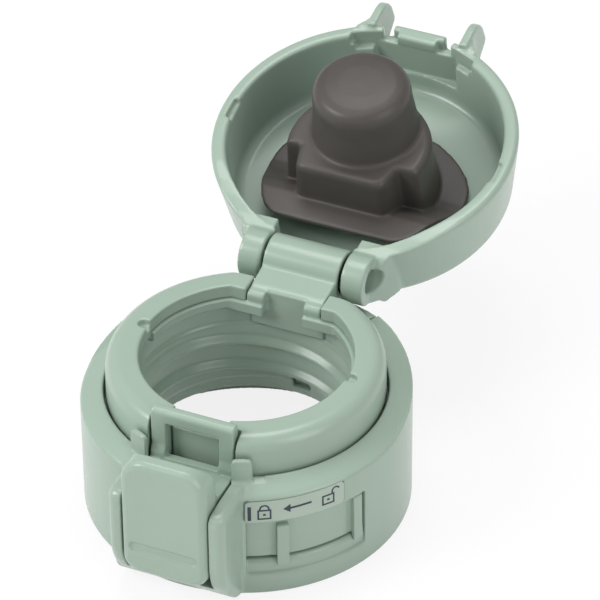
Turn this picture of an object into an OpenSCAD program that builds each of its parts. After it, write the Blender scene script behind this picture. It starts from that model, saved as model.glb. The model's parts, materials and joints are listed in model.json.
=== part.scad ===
// Flip-open lid of a slim vacuum flask: a base ring that screws onto the flask's neck, a domed lid
// on a sprung hinge, an opening button and a sliding lock. Millimetres. Z is up, the button faces -Y,
// the hinge is on the +Y side. The lid's parts are drawn shut and then swung open about the hinge pin.

// Which sub-part to show

/* [Base shell] */
// Outer radius of the shell, the flask's own radius
shell_r = 32.5; // [30:0.5:40]
// Thickness of the shell's wall
shell_wall = 1.9; // [1.2:0.1:3]
// Height of the shoulder's outer edge at the front
shoulder_z = 24.0; // [20:0.5:30]
// Height of the shoulder's inner edge above its outer edge
shoulder_slope = 2.1; // [0.5:0.1:4]
// Height of the shoulder beside the hinge
shoulder_back_z = 27.5; // [24:0.5:32]
// Angle either side of the hinge where the shoulder gives way to the hinge bracket
bracket_half_angle = 30; // [20:1:40]

/* [Neck sleeve] */
// Radius of the smooth skirt that the flask's neck enters
neck_r = 21.6; // [18:0.1:26]
// Thickness of the sleeve's wall
sleeve_wall = 2.0; // [1.5:0.1:3]
// Height of the sleeve's lower edge above the shell's
skirt_z = 7.7; // [3:0.1:9]
// How far the skirt is wider than the threaded wall above it
skirt_play = 0.25; // [0.1:0.05:0.6]
// Length of the skirt's smooth bore
skirt_len = 2.7; // [1.5:0.1:3]
// Rise of the neck thread in one turn
thread_pitch = 6.2; // [3:0.1:8]
// Depth of the neck thread
thread_depth = 1.3; // [0.6:0.1:2]
// Height of the thread's crest in the middle of its first half turn
thread_z = 13.5; // [12:0.1:15]
// How far the lip under the cover ring stands inside the ring
lip_step = 0.7; // [0.2:0.1:1.5]

/* [Cover ring] */
// Radius of the ring's opening
ring_in_r = 20.7; // [18:0.1:25]
// Radius of the ring's outer wall
ring_out_r = 27.4; // [24:0.1:30]
// Height of the ring's flat top
ring_top_z = 34.0; // [31:0.5:40]
// Radius of the ring's outer top edge
ring_round = 3.0; // [1:0.5:4]
// Thickness of the ring's top
ring_top = 3.0; // [2:0.1:4]
// Gap between ring and shoulder
ring_gap = 0.5; // [0.3:0.1:1]

/* [Hinge] */
// Distance of the hinge pin behind the middle
hinge_y = 31.0; // [29:0.5:36]
// Height of the hinge pin
hinge_z = 33.0; // [31:0.5:38]
// Radius of the hinge barrel
barrel_r = 5.0; // [4:0.1:6]
// Half the length of the barrel
barrel_half = 8.0; // [5:0.1:9]
// Radius of the hinge pin
pin_r = 1.5; // [1:0.1:2]
// Play between the pin and the barrel's bore
pin_play = 0.05; // [0.02:0.01:0.1]
// Angle the lid has turned through when it stands open
lid_turn = 167.5; // [90:0.5:170]

/* [Lid] */
// Height of the lid's rim when shut
rim_z = 27.0; // [26:0.1:30]
// Outer radius of the rim
lid_r = 31.25; // [30:0.25:36]
// Width of the rim
rim_w = 3.05; // [2:0.05:4]
// How far the wall leans in by the dome
lid_lean = 1.9; // [0:0.1:4]
// Height of the dome's edge when shut
dome_z = 43.2; // [40:0.5:50]
// Rise of the dome in its middle
dome_crown = 1.4; // [0:0.1:4]
// Thickness of the dome
dome_t = 2.2; // [1.5:0.1:3]
// Distance between the two front fins' middles
fin_gap = 20.4; // [16:0.1:24]
// Thickness of a front fin
fin_t = 1.8; // [1:0.1:3]

/* [Seal] */
// Radius of the seal's flange
flange_r = 21.4; // [18:0.1:24]
// Distance of the flange's flat edge behind the middle
flange_flat_y = 20.7; // [18:0.1:22]
// Thickness of the flange
flange_t = 1.0; // [0.6:0.1:2]
// Height of the seal's stepped block
block_h = 8.7; // [5:0.1:10]
// Radius of the plug's head
plug_r = 9.7; // [7:0.1:11]
// Height of the plug's end when shut
plug_z = 13.3; // [10:0.1:20]

/* [Button] */
// Half the width of the button's face plate
button_half = 8.85; // [7:0.05:11]
// Lower edge of the face plate
button_z0 = 6.7; // [4:0.1:10]
// Upper edge of the face plate
button_z1 = 34.2; // [30:0.1:38]
// Distance of the button's face in front of the middle
button_y = 39.2; // [37:0.1:44]
// Play between the button and the pillars beside it
button_play = 0.45; // [0.3:0.05:1]
// Width of a pillar
pillar_w = 3.6; // [2.5:0.1:5]
// Distance of the pillars' front in front of the middle
pillar_y = 36.0; // [34:0.5:40]
// Height of the button's pivot
pivot_z = 16.0; // [14:0.5:20]
// Distance of the button's pivot in front of the middle
pivot_y = 31.4; // [30:0.1:33]
// Radius of the button's pivot pin
pivot_r = 1.0; // [0.6:0.1:1.5]

/* [Lock] */
// Angle from the front, towards the right, where the lock's window starts
window_a0 = 23.3; // [18:0.1:30]
// Angle from the front where the lock's window ends
window_a1 = 68.2; // [50:0.1:80]
// Lower edge of the window
window_z0 = 4.4; // [2:0.1:8]
// Upper edge of the window
window_z1 = 18.0; // [14:0.1:20]
// Angle the lock slides through
lock_turn = 10; // [5:0.5:12]

/* [Hidden] */
$fn = 96;
eps = 0.01;
gap_r = ring_out_r + ring_gap;
shell_in_r = shell_r - shell_wall;
deck_z1 = shoulder_z - 2;
deck_z0 = deck_z1 - 2.1;
sleeve_out_r = neck_r + sleeve_wall;
sleeve_top_z = ring_top_z - ring_top - 0.05;
lip_z0 = sleeve_top_z - 2.45;
rear_in_r = ring_in_r + 0.5;
flat_y = rear_in_r - 3.15;
slot_half = button_half + button_play;
pillar_out = slot_half + pillar_w;
flange_z0 = ring_top_z + 0.3;
flange_z1 = flange_z0 + flange_t;
holder_z0 = flange_z1 + 0.1;
lid_in_r = lid_r - rim_w;
track_r = shell_r - 1.1;
slider_r = track_r - 0.4;
spring_z = pivot_z - 4.4;
label_z0 = window_z1 + 0.7;
label_z1 = shoulder_z - 0.7;
ear_x0 = barrel_half + 0.6;
ear_x1 = ear_x0 + 4.8;
green = [0.70, 0.79, 0.73];
grey = [0.33, 0.31, 0.30];
steel = [0.75, 0.75, 0.76];

// A YZ outline made into a bar along X, from x0 to x1
module bar(x0, x1) translate([x0, 0, 0]) rotate([90, 0, 90]) linear_extrude(x1 - x0) children();

// An RZ outline turned about Z from angle a0 to a1, counted from the front (-Y) towards +X
module sweep(a0, a1) rotate([0, 0, a0 - 90]) rotate_extrude(angle = a1 - a0) children();

module box_rz(r0, r1, z0, z1) translate([r0, z0]) square([r1 - r0, z1 - z0]);

module both() {
    children();
    mirror([1, 0, 0]) children();
}

// From the shut position to the open one, about the hinge pin
module opened()
    translate([0, hinge_y, hinge_z]) rotate([-lid_turn, 0, 0]) translate([0, -hinge_y, -hinge_z])
        children();

// One half turn of a helix: a half ring tilted about the middle of its arc, so that half turns meet
module half_turn(mid_a, mid_z, pitch, r)
    translate([0, 0, mid_z]) rotate([0, 0, mid_a]) rotate([asin(pitch / 4 / r), 0, 0])
        rotate([0, 0, -90]) rotate_extrude(angle = 180) children();

// Coil spring of n turns along Z, starting at z = 0
module coil(r, wire_r, pitch, n)
    for (k = [0 : 2 * n - 1])
        half_turn(180 * k, pitch * (k + 0.5) / 2, pitch, r) translate([r, 0]) circle(wire_r, $fn = 16);

function arc(cx, cy, r, a0, a1, n) =
    [for (i = [0 : n]) [cx + r * cos(a0 + (a1 - a0) * i / n), cy + r * sin(a0 + (a1 - a0) * i / n)]];

// Outer shell

module shell_outline() {
    polygon([
        [shell_in_r, 0], [shell_r - 0.4, 0], [shell_r, 0.4],
        [shell_r, shoulder_z - 0.5], [shell_r - 0.2, shoulder_z - 0.1], [shell_r - 0.6, shoulder_z + 0.2],
        [gap_r + 0.3, shoulder_z + shoulder_slope], [gap_r, shoulder_z + shoulder_slope - 0.2],
        [gap_r, deck_z1 + 0.1], [shell_in_r, deck_z1 + 0.1]
    ]);
}

// The shoulder climbs towards the hinge
module shoulder_rise()
    intersection() {
        rotate_extrude() box_rz(gap_r, shell_r, deck_z1 + 0.1, shoulder_back_z + 2);
        bar(-shell_r, shell_r) polygon([
            [-8, 20], [-8, shoulder_z - 1], [-3, shoulder_z - 0.1], [1, shoulder_z + 0.4],
            [5, shoulder_z + 0.9], [10, shoulder_z + 1.6], [15, shoulder_z + 2.2], [20, shoulder_back_z - 0.7],
            [25, shoulder_back_z - 0.1], [28, shoulder_back_z], [34, shoulder_back_z], [34, 20]
        ]);
    }

module pillar_block()
    intersection() {
        bar(-pillar_out, pillar_out) polygon(concat(
            [[-25, shoulder_z + 0.4], [-25, 0.6]],
            arc(-pillar_y + 6.2, 6.8, 6.2, 270, 180, 10),
            arc(-pillar_y + 1.5, shoulder_z - 1.1, 1.5, 180, 90, 5)));
        linear_extrude(40) polygon(concat(
            [[-pillar_out, -26]],
            arc(-pillar_out + 1.2, -pillar_y + 1.2, 1.2, 180, 270, 5),
            arc(pillar_out - 1.2, -pillar_y + 1.2, 1.2, 270, 360, 5),
            [[pillar_out, -26]]));
    }

// A small guide tab on the shoulder, beside the end of the cover ring
module shoulder_tab()
    difference() {
        bar(slot_half - 0.3, slot_half + 3.9) polygon(concat(
            [[-28.6, shoulder_z], [-28.6, shoulder_z + 3.4]],
            arc(-27.4, shoulder_z + 3.6, 1.1, 170, 90, 4),
            [[-23, shoulder_z + 4.7], [-23, shoulder_z]]));
        cylinder(r = gap_r, h = 60);
    }

module window_cut()
    sweep(window_a0, window_a1) polygon([
        [shell_r + 1.3, window_z0 - 3.2], [track_r - 0.2, window_z0 + 3.2], [track_r - 0.2, window_z1],
        [shell_r + 1.3, window_z1]
    ]);

module outer_shell()
    color(green) {
        difference() {
            union() {
                rotate_extrude() shell_outline();
                shoulder_rise();
                pillar_block();
                both() shoulder_tab();
            }
            translate([0, 0, -1]) cylinder(r = shell_in_r, h = deck_z1 + 1.1);
            // slot for the button
            translate([-slot_half, -60, button_z0 - 1.1]) cube([2 * slot_half, 60 - 20, 60]);
            // bearing holes for the button's pivot
            translate([0, -pivot_y, pivot_z]) rotate([0, 90, 0])
                cylinder(r = pivot_r + 0.02, h = 2 * (slot_half + 2.8), center = true, $fn = 32);
            window_cut();
            // track behind the window
            sweep(8, window_a1 + 3) box_rz(shell_in_r - 1, track_r, window_z0 + 3.4, deck_z0 - 0.1);
            // recess for the label
            sweep(22.5, 58.7) box_rz(shell_r - 0.45, shell_r + 1, label_z0 - 0.1, label_z1 + 0.1);
            // way out for the hinge bracket
            sweep(180 - bracket_half_angle, 180 + bracket_half_angle)
                box_rz(gap_r - 1, shell_r + 1, deck_z1, 50);
        }
        // floor and inner guide of the lock's track
        sweep(19, window_a1 + 2) polygon([
            [shell_in_r + 0.4, window_z0 + 1.8], [shell_in_r + 0.4, window_z0 + 3.4],
            [slider_r - 1.7, window_z0 + 3.4], [slider_r - 1.7, window_z0 + 5], [slider_r - 2.5, window_z0 + 5],
            [slider_r - 2.5, window_z0 + 1.8]
        ]);
        // lugs that hold the inner body up against the shoulder
        for (a = [100, 180, 260])
            sweep(a - 8, a + 8) polygon([
                [shell_in_r + 0.3, deck_z0 - 2.4], [shell_in_r + 0.3, deck_z0 - 0.15],
                [shell_in_r - 0.8, deck_z0 - 0.15], [shell_in_r - 0.8, deck_z0 - 0.9]
            ]);
    }

// Inner body

module thread()
    for (k = [0 : 2])
        half_turn(110 + 180 * k, thread_z + thread_pitch * k / 2, thread_pitch, neck_r) polygon([
            [neck_r + 0.6, -1.3], [neck_r + 0.02, -1.1], [neck_r - thread_depth, -0.3],
            [neck_r - thread_depth - 0.02, 0.25], [neck_r + 0.02, 1.5], [neck_r + 0.6, 1.7]
        ]);

module sleeve() {
    rotate_extrude() polygon([
        [neck_r + skirt_play, skirt_z], [neck_r + skirt_play, skirt_z + skirt_len], [neck_r, skirt_z + skirt_len + 0.2],
        [neck_r, sleeve_top_z], [sleeve_out_r + 0.4, sleeve_top_z],
        [sleeve_out_r + 0.4, deck_z1], [shell_in_r - 0.2, deck_z1], [shell_in_r - 0.2, deck_z0],
        [sleeve_out_r, deck_z0], [sleeve_out_r, skirt_z + 0.5], [sleeve_out_r - 0.5, skirt_z]
    ]);
    thread();
}

// The lip follows the cover ring's outline, round the back half only
module lip()
    difference() {
        union() {
            sweep(95, 265) polygon([
                [rear_in_r - lip_step, sleeve_top_z], [rear_in_r - lip_step, lip_z0 + 0.6],
                [rear_in_r - lip_step + 0.5, lip_z0 + 0.1], [neck_r + 0.6, lip_z0], [neck_r + 0.6, sleeve_top_z]
            ]);
            translate([-11.6, flat_y - lip_step, lip_z0]) cube([23.2, 3.6, sleeve_top_z - lip_z0]);
        }
        translate([-4.2, 10, lip_z0 - 1]) cube([8.4, 9.9, 6]);
    }

module hinge_stem() {
    stem_half = barrel_half - 0.1;
    // web and stem
    bar(-stem_half, stem_half) polygon([
        [flat_y + 1.95, deck_z1 + 2.5], [flat_y + 1.95, hinge_z], [flat_y + 2.5, hinge_z + 0.5],
        [flat_y + 3.4, hinge_z + 0.7], [hinge_y - 4.8, hinge_z + 1.4], [hinge_y, hinge_z],
        [hinge_y + 0.4, hinge_z - 3], [hinge_y + 0.4, deck_z1 + 0.3], [sleeve_out_r, deck_z1 + 0.3],
        [sleeve_out_r, deck_z1 + 2.5]
    ]);
    // legs that come down either side of the recess
    both() bar(4.2, stem_half) polygon(concat(
        [[flat_y + 3, lip_z0], [flat_y, lip_z0]],
        arc(flat_y + 1.2, hinge_z - 0.9, 1.2, 180, 90, 5),
        [[flat_y + 3, hinge_z + 0.3]]));
    // barrel
    translate([-barrel_half, hinge_y, hinge_z]) rotate([0, 90, 0]) cylinder(r = barrel_r, h = 2 * barrel_half);
}

// Raised bracket that carries the hinge and fills the back of the shoulder
module hinge_bracket()
    intersection() {
        sweep(180 - bracket_half_angle + 0.7, 180 + bracket_half_angle - 0.7) polygon([
            [sleeve_out_r - 0.3, deck_z1 - 0.5], [sleeve_out_r - 0.3, 40], [shell_r - 0.1, 40],
            [shell_r - 0.1, deck_z1 + 0.4], [shell_in_r - 0.9, deck_z1 + 0.4], [shell_in_r - 0.9, deck_z1 - 0.5]
        ]);
        bar(-shell_r, shell_r) polygon([
            [10, deck_z1 - 1], [10, shoulder_back_z - 0.1], [hinge_y - 4, shoulder_back_z - 0.1],
            [shell_r, shoulder_back_z - 1.3], [shell_r, deck_z1 - 1]
        ]);
    }

module inner_body()
    color(green)
        difference() {
            union() {
                difference() {
                    union() {
                        sleeve();
                        // seat for the button's spring
                        translate([0, -neck_r - 0.6, spring_z]) rotate([90, 0, 0])
                            cylinder(r = 3.3, h = 4.2, $fn = 48);
                    }
                    // the back half of the wall stands back above a small step
                    sweep(85, 275) polygon([
                        [neck_r - 0.5, deck_z1 + 1.4], [neck_r + 0.5, deck_z1 + 2.4],
                        [neck_r + 0.5, lip_z0 + 1], [neck_r - 0.5, lip_z0 + 1]
                    ]);
                }
                lip();
                difference() {
                    hinge_bracket();
                    // hollow under the bracket's top, either side of the stem
                    both() sweep(180 - bracket_half_angle + 4, 163) box_rz(sleeve_out_r + 1.8, shell_r - 2,
                        deck_z1 - 1, shoulder_back_z - 2.6);
                }
                hinge_stem();
            }
            // way for the button's arms and bridge
            translate([-slot_half + 0.1, -40, deck_z0 - 0.5])
                cube([2 * slot_half - 0.2, 40 - neck_r - 1.45, 20]);
            both() translate([5.3, -40, deck_z0 - 0.5]) cube([slot_half - 5.4, 40 - neck_r - 0.65, 20]);
            // bore for the hinge pin, and the pocket for the spring at its right end
            translate([0, hinge_y, hinge_z]) rotate([0, 90, 0]) {
                cylinder(r = pin_r + pin_play, h = 2 * barrel_half + 2, center = true, $fn = 48);
                translate([0, 0, barrel_half - 4.8]) cylinder(r = barrel_r - 1.3, h = 6, $fn = 48);
            }
            // hole for the spring's fixed leg
            translate([barrel_half - 4.4, hinge_y, hinge_z - barrel_r - 2.2]) cylinder(r = 0.5, h = 6, $fn = 24);
            // relief slot in the skirt beside the thread's start
            sweep(169, 179) box_rz(neck_r - 1, sleeve_out_r + 1, skirt_z + 1.4, skirt_z + 4.2);
        }

// Cover ring

module cover_half()
    color(green)
        difference() {
            union() {
                rotate_extrude() polygon(concat(
                    [[ring_in_r, ring_top_z - ring_top], [ring_in_r + 0.15, ring_top_z - 0.3],
                     [ring_in_r + 0.5, ring_top_z]],
                    arc(ring_out_r - ring_round, ring_top_z - ring_round, ring_round, 90, 0, 8),
                    [[ring_out_r, deck_z1 + 1.3], [ring_out_r - 1.8, deck_z1 + 1.3],
                     [ring_out_r - 1.8, ring_top_z - ring_top]]));
                // flat ends beside the hinge
                both() translate([barrel_half - 0.5, flat_y, ring_top_z - ring_top])
                    cube([4.2, 4, ring_top]);
            }
            // the back half opens a little wider, up to the flats
            intersection() {
                translate([0, 0, 20]) cylinder(r = rear_in_r, h = 30);
                translate([-30, 1, 20]) cube([60, flat_y - 1, 30]);
            }
            // front gap for the bridge of the button, with the ring's tips behind it
            translate([0, 0, 10]) linear_extrude(40) polygon([
                [-slot_half + 0.2, -40], [slot_half - 0.2, -40], [slot_half - 0.2, -22.3], [5.75, -21.7],
                [5.75, -15], [-5.75, -15], [-5.75, -21.7], [-slot_half + 0.2, -22.3]
            ]);
            // each half is a moulding of its own
            translate([-60, -60, 0]) cube([60, 120, 60]);
            // gap for the hinge stem
            translate([-barrel_half - 0.1, 10, 10]) cube([2 * barrel_half + 0.2, 40, 40]);
            // room for the lid's ears and rim to swing past
            translate([0, hinge_y, hinge_z]) rotate([0, 90, 0])
                cylinder(r = 8.2, h = 2 * ear_x1, center = true);
            both() translate([ear_x1 - eps, hinge_y, hinge_z]) rotate([0, 90, 0])
                cylinder(r1 = 8.2, r2 = 12.8, h = 7.1);
            // the wall ends on top of the hinge bracket
            sweep(180 - bracket_half_angle - 1, 180 + bracket_half_angle + 1)
                box_rz(ring_out_r - 2.5, ring_out_r + 1, deck_z1, shoulder_back_z);
            // scoops in the inner edge
            both() {
                translate([rear_in_r + 0.8, 0.55, ring_top_z - 1.3]) cylinder(r = 1.15, h = 4, $fn = 32);
                translate([rear_in_r - 2, -0.6, ring_top_z - 1.3]) cube([2.8, 2.3, 4]);
            }
        }

module cover_right() cover_half();

module cover_left() mirror([1, 0, 0]) cover_half();

// Lock label

module label_plate()
    color([0.80, 0.84, 0.76])
        sweep(22.8, 58.4) box_rz(shell_r - 0.42, shell_r - 0.05, label_z0, label_z1);

// Opening button

module face_outline(inset)
    polygon(concat(
        arc(button_half - 5, button_z1 - 5, 5 - inset, 0, 90, 8),
        arc(-button_half + 5, button_z1 - 5, 5 - inset, 90, 180, 8),
        arc(-button_half + 3.5, button_z0 + 3.5, 3.5 - inset, 180, 270, 8),
        arc(button_half - 3.5, button_z0 + 3.5, 3.5 - inset, 270, 360, 8)));

module slab(y0, y1, inset) translate([0, y1, 0]) rotate([90, 0, 0]) linear_extrude(y1 - y0) face_outline(inset);

module open_button()
    color(green)
        difference() {
            union() {
                difference() {
                    hull() {
                        slab(-button_y, -button_y + 0.05, 1.3);
                        slab(-button_y + 0.4, -button_y + 0.45, 0.45);
                        slab(-button_y + 1.2, -button_y + 5.3, 0);
                    }
                    // hollow back
                    translate([-button_half + 2.2, -button_y + 2.4, button_z0 + 1.8])
                        cube([2 * button_half - 4.4, 10, button_z1 - button_z0 - 6.6]);
                    // slope behind the top
                    bar(-20, 20) polygon([
                        [-button_y + 3.2, button_z1 + 1], [-button_y + 3.2, button_z1 - 0.1],
                        [-button_y + 5.4, button_z1 - 2.6], [-button_y + 8, button_z1 - 2.6],
                        [-button_y + 8, button_z1 + 1]
                    ]);
                }
                // side walls back to the arms
                both() bar(6.4, button_half - 0.15) polygon([
                    [-button_y + 2, button_z0 + 2], [-button_y + 2, button_z1 - 6], [-button_y + 5, button_z1 - 6.4],
                    [-button_y + 6.4, 25.6], [-26, 25.2], [-25.8, 22.2], [-28.6, pivot_z + 1],
                    [-32.6, pivot_z - 2.6], [-32.6, button_z0 + 2.4], [-34, button_z0 + 2]
                ]);
                both() translate([6.4, -pivot_y, pivot_z]) rotate([0, 90, 0])
                    cylinder(r = 2.4, h = button_half - 6.55, $fn = 48);
                // floor of the latch pocket
                bar(-7, 7) polygon([
                    [-26.5, 25.0], [-26.5, 23.6], [-button_y + 2, 22.6], [-button_y + 2, 24.0]
                ]);
                // arms and the bar across their tops
                both() bar(5.6, 8.6) polygon([
                    [-26.2, 22.2], [-26.2, 26.5], [-25.5, 28], [-25.5, 34.5], [-22.8, 34.5],
                    [-22.6, 25], [-23.4, 22.2]
                ]);
                bar(-8.6, 8.6) polygon(concat(
                    arc(-24.4, 35.1, 1.1, 180, 90, 6), arc(-23.8, 35.2, 1.0, 90, 0, 6),
                    arc(-23.6, 33.8, 0.8, 360, 270, 4), arc(-24.7, 33.8, 0.8, 270, 180, 4)));
                bar(-6, 6) polygon([[-26.2, 23.6], [-26.2, 25.6], [-24.6, 25.6], [-24.2, 23.6]]);
                // peg inside the return spring
                translate([0, -button_y + 6, spring_z]) rotate([90, 0, 0]) cylinder(r = 1.6, h = 4, $fn = 32);
            }
            // push mark
            translate([0, -button_y + 0.5, 0]) rotate([90, 0, 0]) linear_extrude(2) union() {
                translate([-6.1, 12.2]) square([12.2, 2.1]);
                both() translate([6.1, 13.25]) circle(1.05, $fn = 32);
            }
            // bores for the pivot pin
            translate([0, -pivot_y, pivot_z]) rotate([0, 90, 0])
                cylinder(r = pivot_r + 0.05, h = 40, center = true, $fn = 32);
        }

module button_pin()
    color(steel)
        translate([0, -pivot_y, pivot_z]) rotate([0, 90, 0])
            cylinder(r = pivot_r, h = 2 * (slot_half + 2.6), center = true, $fn = 32);

module button_spring()
    color(steel)
        translate([0, -neck_r - 4.8 - 0.35, spring_z]) rotate([90, 0, 0]) coil(2.3, 0.3, 1.6, 6);

// Lock slider

module lock_slider()
    color(green) {
        sweep(33, 67.6) box_rz(slider_r - 1.4, slider_r, window_z0 + 3.75, deck_z0 - 0.4);
        // tail that slides behind the button
        sweep(19.5, 33.5) box_rz(slider_r - 1.4, slider_r, window_z0 + 4.0, window_z0 + 8.2);
        // finger ribs
        rib(34.0, 38.3, window_z1 - 1.5);
        rib(63.4, 67.4, window_z1 - 0.5);
    }

module rib(a0, a1, top)
    sweep(a0, a1) polygon([
        [slider_r - 0.5, window_z0 + 4.0], [slider_r + 0.3, window_z0 + 3.9], [slider_r + 1.0, window_z0 + 2.2],
        [slider_r + 1.25, window_z0 + 2.2], [slider_r + 1.35, window_z0 + 2.6], [slider_r + 1.2, top - 0.3],
        [slider_r + 0.9, top], [slider_r - 0.5, top]
    ]);

// Lid

module lid_outside()
    polygon(concat(
        [[0, rim_z]],
        arc(lid_r - 1, rim_z + 1, 1, 270, 360, 5),
        arc(lid_r - lid_lean - 2.6, dome_z - 2.6, 2.6, 8, 84, 7),
        [[20, dome_z + dome_crown * 0.45], [13, dome_z + dome_crown * 0.76], [6.5, dome_z + dome_crown * 0.94],
         [0, dome_z + dome_crown]]));

module lid_inside()
    polygon(concat(
        [[0, rim_z - 1], [lid_in_r + 0.8, rim_z - 1], [lid_in_r + 0.8, rim_z], [lid_in_r + 0.2, rim_z + 0.2],
         [lid_in_r, rim_z + 0.8]],
        arc(lid_in_r - 0.9 - 2, dome_z - dome_t - 2, 2, 5, 85, 6),
        [[18, dome_z - dome_t + dome_crown * 0.5], [9, dome_z - dome_t + dome_crown * 0.87],
         [0, dome_z - dome_t + dome_crown]]));

// Knuckle of the hinge, blended into the lid's back wall
module ear()
    bar(ear_x0, ear_x1) union() {
        intersection() {
            translate([hinge_y, hinge_z]) circle(barrel_r + 0.1);
            polygon([
                [hinge_y - 8, hinge_z - 8], [hinge_y + 2.0, hinge_z - 8], [hinge_y + 4.5, hinge_z - 0.5],
                [hinge_y + 4.5, hinge_z + 8], [hinge_y - 8, hinge_z + 8]
            ]);
        }
        polygon([
            [22, rim_z + 2.4], [26.5, rim_z + 2.2], [hinge_y - 3.4, hinge_z - 3.6], [hinge_y + 4.5, hinge_z - 0.5],
            [hinge_y + 4.3, hinge_z + 2.4], [hinge_y + 3.3, hinge_z + 4.0], [hinge_y - 1.2, hinge_z + 6.6],
            [hinge_y - 2.2, dome_z - 2], [24, dome_z - 2]
        ]);
    }

module fin()
    bar(fin_gap / 2 - fin_t / 2, fin_gap / 2 + fin_t / 2) polygon(concat(
        [[-28.6, rim_z + 12], [-28.6, rim_z + 0.4]],
        [[-32, rim_z + 0.2]],
        arc(-35.9, rim_z + 1.2, 0.8, 270, 180, 4),
        [[-36.5, rim_z + 2.0], [-33.4, rim_z + 5.2], [-31.2, rim_z + 9.5], [-30.2, rim_z + 13]]));

module lid_shell()
    color(green) opened() {
        difference() {
            union() {
                difference() {
                    rotate_extrude() lid_outside();
                    // the rim climbs towards the hinge
                    bar(-40, 40) polygon([
                        [15, rim_z - 2], [15, rim_z], [19, rim_z + 0.4], [22, rim_z + 1.1], [25, rim_z + 2.0],
                        [27, rim_z + 2.3], [40, rim_z + 2.3], [40, rim_z - 2]
                    ]);
                }
                both() ear();
            }
            rotate_extrude() lid_inside();
            // way for the hinge barrel
            translate([-barrel_half - 0.45, 18, rim_z - 5])
                cube([2 * barrel_half + 0.9, 30, hinge_z + barrel_r + 0.5 - rim_z + 5]);
            // flat pocket and lowered rim for the latch
            translate([-9.1, -28.1, rim_z - 5]) cube([18.2, 10, 15]);
            translate([-9.1, -40, rim_z - 5]) cube([18.2, 20, 7.8]);
            // room for the shoulder's tabs
            both() translate([slot_half - 0.8, -29.3, rim_z - 5]) cube([5, 8, 7.3]);
            // nicks in the rim's inner edge
            both() translate([lid_in_r - 0.6, -1.7, rim_z - 1]) cube([1.6, 5.3, 2.2]);
            // seats for the hinge pin
            translate([-ear_x1 + 0.9, hinge_y, hinge_z]) rotate([0, 90, 0])
                cylinder(r = pin_r + 0.02, h = 2 * ear_x1, $fn = 48);
            translate([ear_x1 - 3.2, hinge_y, hinge_z]) rotate([0, 90, 0]) cylinder(r = 2.45, h = 8, $fn = 48);
            // hole for the spring's moving leg
            translate([ear_x0 - 1, hinge_y, hinge_z + barrel_r - 2.5]) rotate([0, 90, 0])
                cylinder(r = 0.5, h = 2.6, $fn = 24);
        }
        both() fin();
        // latch tongue with its inward head
        bar(-5.65, 5.65) polygon([
            [-31.2, rim_z + 4], [-31.4, rim_z + 0.9], [-31.0, rim_z + 0.3], [-29.6, rim_z + 0.3],
            [-29.4, rim_z + 4]
        ]);
        bar(-4.2, 4.2) polygon(concat(
            [[-30, rim_z + 0.3]],
            arc(-28.6, rim_z + 1.0, 0.7, 270, 360, 5),
            arc(-28.6, rim_z + 2.1, 0.7, 0, 60, 4),
            [[-30, rim_z + 3.4]]));
    }

// Outline of the seal's flange and its holder: a circle with one flat side
module flange_outline(r, flat)
    intersection() {
        translate([0, flange_flat_y + 2.4 - flange_r]) circle(r);
        union() {
            translate([-40, -60]) square([80, 60 + flat - 2.5]);
            translate([-9.6, 0]) square([19.2, flat]);
            both() translate([9.6, flat - 2.5]) circle(2.5, $fn = 48);
        }
    }

module seal_holder()
    color(green) opened() {
        translate([0, 0, holder_z0]) linear_extrude(1.6) flange_outline(flange_r - 0.8, flange_flat_y - 0.6);
        translate([0, 0, holder_z0 + 1.5]) linear_extrude(dome_z - dome_t - holder_z0 - 1.7) difference() {
            flange_outline(flange_r - 2.2, flange_flat_y - 1.6);
            flange_outline(flange_r - 3.8, flange_flat_y - 3.2);
        }
        // post inside the plug
        translate([0, -1.1, plug_z + 3.2]) cylinder(r = plug_r - 2.1, h = holder_z0 - plug_z - 3, $fn = 64);
    }

module plug_seal()
    color(grey) opened()
        difference() {
            union() {
                translate([0, 0, flange_z0]) linear_extrude(flange_t) flange_outline(flange_r, flange_flat_y);
                translate([0, 0, flange_z0 - block_h]) linear_extrude(block_h + 0.3) union() {
                    intersection() {
                        translate([0, 0.9]) circle(15);
                        translate([-13.9, -20]) square([27.8, 27.4]);
                    }
                    polygon([[-10.2, 0], [10.2, 0], [10.2, 7.4], [9.0, 13.5], [-9.0, 13.5], [-10.2, 7.4]]);
                }
                translate([0, -1.1, 0]) rotate_extrude() polygon([
                    [0, plug_z], [plug_r - 4.4, plug_z + 0.15], [plug_r - 2.4, plug_z + 0.7],
                    [plug_r - 1.1, plug_z + 1.6], [plug_r - 0.3, plug_z + 2.8], [plug_r, plug_z + 4.2],
                    [plug_r - 0.1, plug_z + 5.4], [plug_r - 0.1, plug_z + 6.8], [plug_r + 0.15, plug_z + 8.6],
                    [plug_r + 0.6, plug_z + 10.4], [plug_r + 1.45, flange_z0 - block_h],
                    [plug_r + 1.45, flange_z0], [0, flange_z0]
                ]);
            }
            translate([0, -1.1, plug_z + 3]) cylinder(r = plug_r - 2, h = 40, $fn = 64);
        }

module hinge_pin()
    color(steel)
        translate([-ear_x1 + 1, hinge_y, hinge_z]) rotate([0, 90, 0])
            cylinder(r = pin_r, h = 2 * ear_x1 - 4.1, $fn = 48);

module hinge_spring()
    color(steel) {
        translate([barrel_half - 4.4, hinge_y, hinge_z]) rotate([0, 90, 0]) coil(2.5, 0.4, 0.92, 5);
        // fixed leg down into the barrel, moving leg across into the ear
        translate([barrel_half - 4.4, hinge_y, hinge_z - barrel_r + 0.4])
            cylinder(r = 0.4, h = barrel_r - 2.9, $fn = 16);
    }

outer_shell();
inner_body();
cover_right();
cover_left();
label_plate();
open_button();
button_pin();
button_spring();
lock_slider();
lid_shell();
seal_holder();
plug_seal();
hinge_pin();
hinge_spring();
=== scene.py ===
"""A flip-open flask lid of pale sage-green plastic, standing open on its base ring."""

import json
import math

import bmesh
import bpy
from mathutils import Matrix, Vector


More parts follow.
